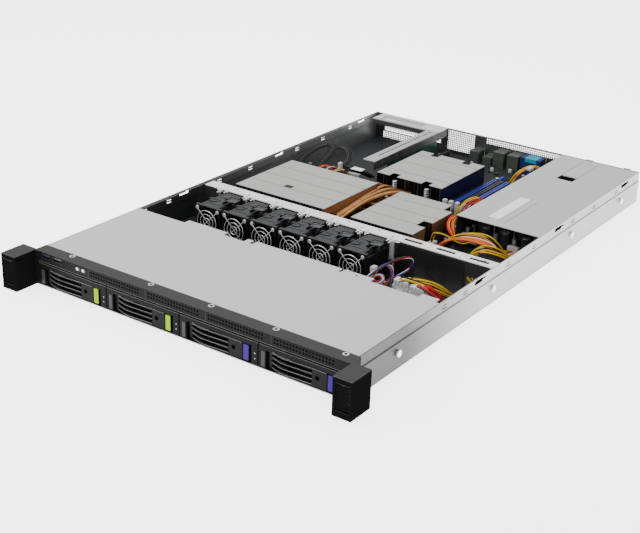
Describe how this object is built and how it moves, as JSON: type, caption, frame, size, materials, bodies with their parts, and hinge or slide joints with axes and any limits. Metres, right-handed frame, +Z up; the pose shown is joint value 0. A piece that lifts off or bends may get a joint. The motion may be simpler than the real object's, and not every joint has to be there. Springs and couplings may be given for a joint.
{
  "type": "1u rack server",
  "caption": "Open-topped 1u rack server with front drive trays, a row of dual-rotor fans, finned coolers, riser and hot-swap power modules.",
  "frame": {"origin": "on the underside, on the centreline, in the plane of the rack posts behind the ears", "axes": "+X to the right seen from the front, +Y from the front to the rear, +Z up"},
  "size_m": [0.4826, 0.7677, 0.0435],
  "materials": {
    "zinc_steel": "satin",
    "cover_steel": "satin",
    "ear_plastic": "matte",
    "bezel_plastic": "matte",
    "tray_plastic": "matte",
    "lever_plastic": "matte",
    "latch_green": "satin",
    "latch_purple": "satin",
    "screw_steel": "polished",
    "button_white": "satin",
    "port_steel": "satin",
    "connector_plastic": "satin",
    "fan_plastic": "satin",
    "rotor_plastic": "satin",
    "guard_chrome": "polished",
    "black_film": "satin",
    "board_green": "satin",
    "board_dark": "satin",
    "fin_aluminium": "satin",
    "copper": "satin",
    "memory_plastic": "satin",
    "latch_white": "satin",
    "module_steel": "satin",
    "release_tab": "satin",
    "lead_jackets": "satin"
  },
  "bodies": {
    "chassis": {"floor_pan": "zinc_steel", "left_side_wall": "zinc_steel", "right_side_wall": "zinc_steel", "rear_panel": "zinc_steel", "rear_io_ports": "port_steel", "rail_studs": "screw_steel", "left_rack_ear": "ear_plastic", "right_rack_ear": "ear_plastic", "front_bezel": "bezel_plastic", "cover_screws": "screw_steel", "front_ports": "port_steel", "drive_cage": "zinc_steel", "drive_cage_cover": "cover_steel", "drive_backplane": "board_green", "backplane_connectors": "connector_plastic", "fan_frames": "fan_plastic", "finger_guards": "guard_chrome", "fan_wall": "zinc_steel", "baffle_sheet": "black_film", "motherboard": "board_dark", "cpu_heatsink": "fin_aluminium", "fin_stacks": "fin_aluminium", "heat_pipes": "copper", "memory_sockets": "memory_plastic", "riser_bracket": "zinc_steel", "riser_board": "board_green", "psu_cage": "cover_steel", "power_board": "board_dark", "wiring_harness": "lead_jackets"},
    "tray_1": {"drive_tray_1": "tray_plastic"},
    "lever_1": {"tray_lever_1": "lever_plastic"},
    "latch_1": {"tray_latch_1": "latch_green"},
    "tray_2": {"drive_tray_2": "tray_plastic"},
    "lever_2": {"tray_lever_2": "lever_plastic"},
    "latch_2": {"tray_latch_2": "latch_green"},
    "tray_3": {"drive_tray_3": "tray_plastic"},
    "lever_3": {"tray_lever_3": "lever_plastic"},
    "latch_3": {"tray_latch_3": "latch_purple"},
    "tray_4": {"drive_tray_4": "tray_plastic"},
    "lever_4": {"tray_lever_4": "lever_plastic"},
    "latch_4": {"tray_latch_4": "latch_purple"},
    "intake_1": {"intake_rotor_1": "rotor_plastic"},
    "exhaust_1": {"exhaust_rotor_1": "rotor_plastic"},
    "intake_2": {"intake_rotor_2": "rotor_plastic"},
    "exhaust_2": {"exhaust_rotor_2": "rotor_plastic"},
    "intake_3": {"intake_rotor_3": "rotor_plastic"},
    "exhaust_3": {"exhaust_rotor_3": "rotor_plastic"},
    "intake_4": {"intake_rotor_4": "rotor_plastic"},
    "exhaust_4": {"exhaust_rotor_4": "rotor_plastic"},
    "intake_5": {"intake_rotor_5": "rotor_plastic"},
    "exhaust_5": {"exhaust_rotor_5": "rotor_plastic"},
    "intake_6": {"intake_rotor_6": "rotor_plastic"},
    "exhaust_6": {"exhaust_rotor_6": "rotor_plastic"},
    "power_key": {"power_button": "button_white"},
    "locate_key": {"locate_button": "button_white"},
    "memory_catches": {"memory_latches": "latch_white"},
    "power_module_1": {"psu_module_1": "module_steel"},
    "release_1": {"psu_latch_1": "release_tab"},
    "power_module_2": {"psu_module_2": "module_steel"},
    "release_2": {"psu_latch_2": "release_tab"}
  },
  "joints": [
    {"name": "tray_1_slide", "type": "slide", "parent": "chassis", "child": "tray_1", "axis": [0, -1, 0], "range_m": [0, 0.14]},
    {"name": "lever_1_hinge", "type": "hinge", "parent": "tray_1", "child": "lever_1", "pos_m": [-0.201, 0.0021, 0.013], "axis": [0, 0, -1], "range_deg": [0, 65]},
    {"name": "latch_1_slide", "type": "slide", "parent": "tray_1", "child": "latch_1", "axis": [1, 0, 0], "range_m": [0, 0.002], "stiffness_N_per_m": 900, "springref_m": -0.001},
    {"name": "tray_2_slide", "type": "slide", "parent": "chassis", "child": "tray_2", "axis": [0, -1, 0], "range_m": [0, 0.14]},
    {"name": "lever_2_hinge", "type": "hinge", "parent": "tray_2", "child": "lever_2", "pos_m": [-0.0945, 0.0021, 0.013], "axis": [0, 0, -1], "range_deg": [0, 65]},
    {"name": "latch_2_slide", "type": "slide", "parent": "tray_2", "child": "latch_2", "axis": [1, 0, 0], "range_m": [0, 0.002], "stiffness_N_per_m": 900, "springref_m": -0.001},
    {"name": "tray_3_slide", "type": "slide", "parent": "chassis", "child": "tray_3", "axis": [0, -1, 0], "range_m": [0, 0.14]},
    {"name": "lever_3_hinge", "type": "hinge", "parent": "tray_3", "child": "lever_3", "pos_m": [0.012, 0.0021, 0.013], "axis": [0, 0, -1], "range_deg": [0, 65]},
    {"name": "latch_3_slide", "type": "slide", "parent": "tray_3", "child": "latch_3", "axis": [1, 0, 0], "range_m": [0, 0.002], "stiffness_N_per_m": 900, "springref_m": -0.001},
    {"name": "tray_4_slide", "type": "slide", "parent": "chassis", "child": "tray_4", "axis": [0, -1, 0], "range_m": [0, 0.14]},
    {"name": "lever_4_hinge", "type": "hinge", "parent": "tray_4", "child": "lever_4", "pos_m": [0.1185, 0.0021, 0.013], "axis": [0, 0, -1], "range_deg": [0, 65]},
    {"name": "latch_4_slide", "type": "slide", "parent": "tray_4", "child": "latch_4", "axis": [1, 0, 0], "range_m": [0, 0.002], "stiffness_N_per_m": 900, "springref_m": -0.001},
    {"name": "intake_1_spin", "type": "hinge", "parent": "chassis", "child": "intake_1", "pos_m": [-0.1581, 0.2445, 0.0212], "axis": [0, 1, 0], "continuous": true},
    {"name": "exhaust_1_spin", "type": "hinge", "parent": "chassis", "child": "exhaust_1", "pos_m": [-0.1581, 0.2725, 0.0212], "axis": [0, 1, 0], "continuous": true},
    {"name": "intake_2_spin", "type": "hinge", "parent": "chassis", "child": "intake_2", "pos_m": [-0.1142, 0.2445, 0.0212], "axis": [0, 1, 0], "continuous": true},
    {"name": "exhaust_2_spin", "type": "hinge", "parent": "chassis", "child": "exhaust_2", "pos_m": [-0.1142, 0.2725, 0.0212], "axis": [0, 1, 0], "continuous": true},
    {"name": "intake_3_spin", "type": "hinge", "parent": "chassis", "child": "intake_3", "pos_m": [-0.0703, 0.2445, 0.0212], "axis": [0, 1, 0], "continuous": true},
    {"name": "exhaust_3_spin", "type": "hinge", "parent": "chassis", "child": "exhaust_3", "pos_m": [-0.0703, 0.2725, 0.0212], "axis": [0, 1, 0], "continuous": true},
    {"name": "intake_4_spin", "type": "hinge", "parent": "chassis", "child": "intake_4", "pos_m": [-0.0264, 0.2445, 0.0212], "axis": [0, 1, 0], "continuous": true},
    {"name": "exhaust_4_spin", "type": "hinge", "parent": "chassis", "child": "exhaust_4", "pos_m": [-0.0264, 0.2725, 0.0212], "axis": [0, 1, 0], "continuous": true},
    {"name": "intake_5_spin", "type": "hinge", "parent": "chassis", "child": "intake_5", "pos_m": [0.0175, 0.2445, 0.0212], "axis": [0, 1, 0], "continuous": true},
    {"name": "exhaust_5_spin", "type": "hinge", "parent": "chassis", "child": "exhaust_5", "pos_m": [0.0175, 0.2725, 0.0212], "axis": [0, 1, 0], "continuous": true},
    {"name": "intake_6_spin", "type": "hinge", "parent": "chassis", "child": "intake_6", "pos_m": [0.0614, 0.2445, 0.0212], "axis": [0, 1, 0], "continuous": true},
    {"name": "exhaust_6_spin", "type": "hinge", "parent": "chassis", "child": "exhaust_6", "pos_m": [0.0614, 0.2725, 0.0212], "axis": [0, 1, 0], "continuous": true},
    {"name": "power_press", "type": "slide", "parent": "chassis", "child": "power_key", "axis": [0, 1, 0], "range_m": [0, 0.0008], "stiffness_N_per_m": 800, "springref_m": -0.001},
    {"name": "locate_press", "type": "slide", "parent": "chassis", "child": "locate_key", "axis": [0, 1, 0], "range_m": [0, 0.0008], "stiffness_N_per_m": 800, "springref_m": -0.001},
    {"name": "memory_catch_hinge", "type": "hinge", "parent": "chassis", "child": "memory_catches", "pos_m": [0.066, 0.481, 0.0112], "axis": [1, 0, 0], "range_deg": [0, 25]},
    {"name": "power_module_1_slide", "type": "slide", "parent": "chassis", "child": "power_module_1", "axis": [0, 1, 0], "range_m": [0, 0.19]},
    {"name": "release_1_slide", "type": "slide", "parent": "power_module_1", "child": "release_1", "axis": [1, 0, 0], "range_m": [0, 0.002], "stiffness_N_per_m": 1200, "springref_m": -0.001},
    {"name": "power_module_2_slide", "type": "slide", "parent": "chassis", "child": "power_module_2", "axis": [0, 1, 0], "range_m": [0, 0.19]},
    {"name": "release_2_slide", "type": "slide", "parent": "power_module_2", "child": "release_2", "axis": [1, 0, 0], "range_m": [0, 0.002], "stiffness_N_per_m": 1200, "springref_m": -0.001}
  ]
}
